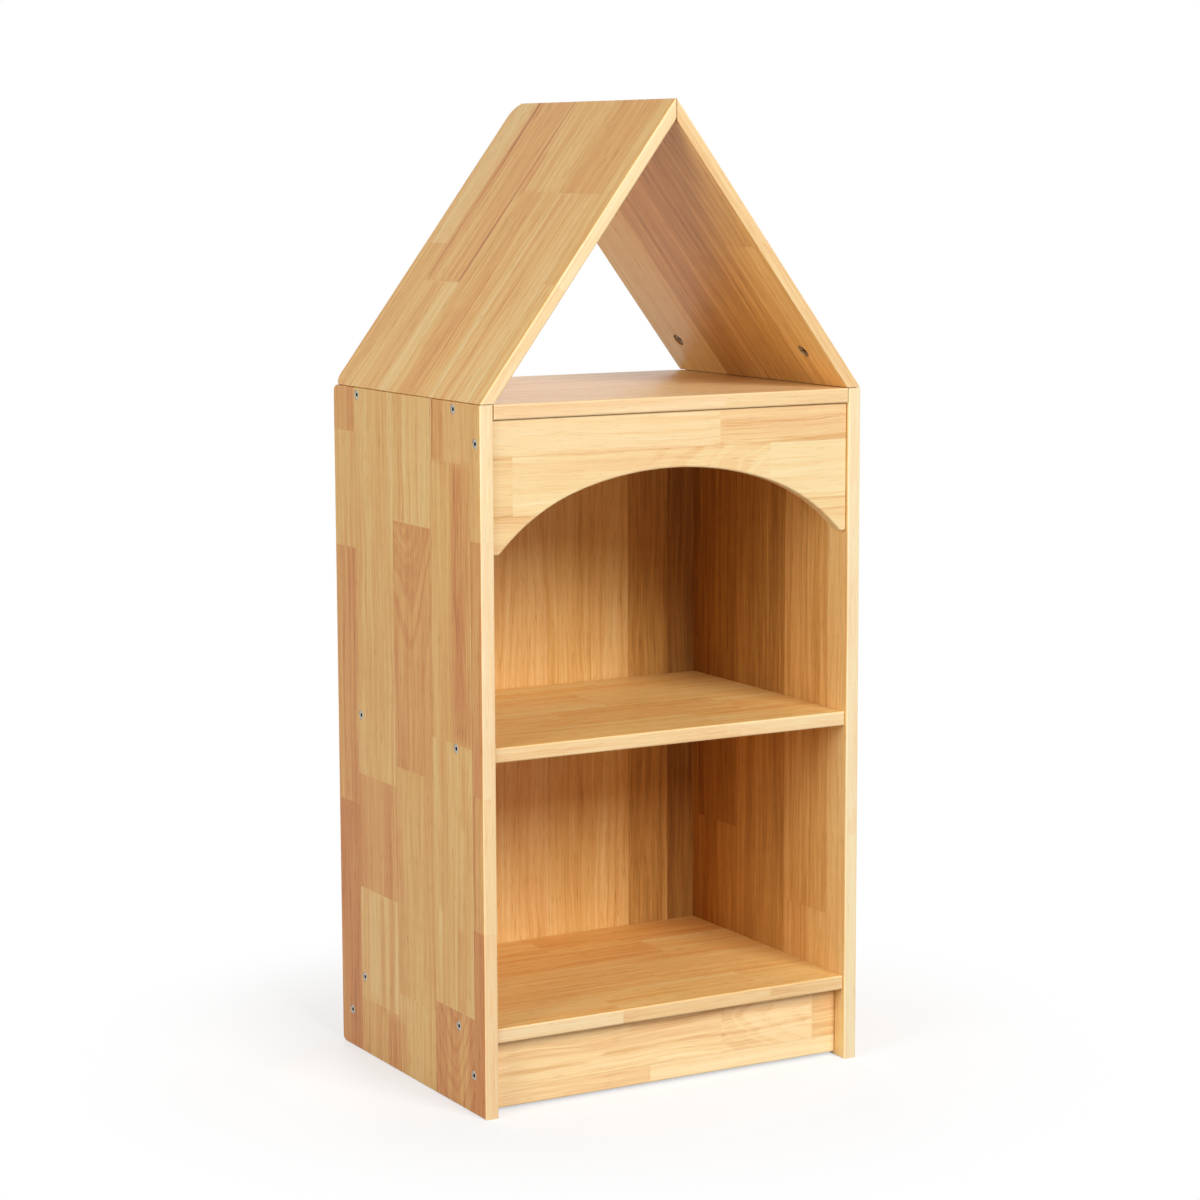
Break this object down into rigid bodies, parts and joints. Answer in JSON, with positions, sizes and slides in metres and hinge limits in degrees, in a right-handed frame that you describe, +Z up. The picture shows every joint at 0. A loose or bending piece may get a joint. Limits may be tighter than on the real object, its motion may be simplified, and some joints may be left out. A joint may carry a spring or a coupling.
{
  "type": "house-shaped children's shelf",
  "caption": "Free-standing wooden children's bookcase shaped like a house, with open shelves, an arched apron under its top board and a pitched roof of mitred boards.",
  "frame": {"origin": "on the floor, under the middle of the shelf", "axes": "+X to the viewer's right along the front, +Y from front to back, +Z up"},
  "size_m": [0.44, 0.335, 0.9997],
  "materials": {
    "board_wood": "edge-glued light hardwood staves under a satin clear lacquer",
    "back_wood": "wood panel with upright grain under a satin clear lacquer",
    "dowel_wood": "plain beech",
    "screw_steel": "bright zinc-plated steel",
    "cam_metal": "dull dark zinc die-casting"
  },
  "bodies": {
    "root": {"apron_dowels": "dowel_wood", "apron_screws": "screw_steel", "arch_apron": "board_wood", "back_panel": "back_wood", "bottom_shelf": "board_wood", "bottom_shelf_screws": "screw_steel", "front_plinth": "board_wood", "front_plinth_screws": "screw_steel", "left_roof_board": "board_wood", "left_side_panel": "board_wood", "middle_shelf": "board_wood", "middle_shelf_screws": "screw_steel", "plinth_dowels": "dowel_wood", "rear_rail": "board_wood", "rear_rail_dowels": "dowel_wood", "rear_rail_screws": "screw_steel", "ridge_spline": "dowel_wood", "right_roof_board": "board_wood", "right_side_panel": "board_wood", "roof_bolt_anchors": "screw_steel", "roof_bolt_pins": "screw_steel", "roof_bolt_rods": "screw_steel", "roof_cams": "cam_metal", "top_board": "board_wood", "top_board_screws": "screw_steel"}
  },
  "joints": []
}
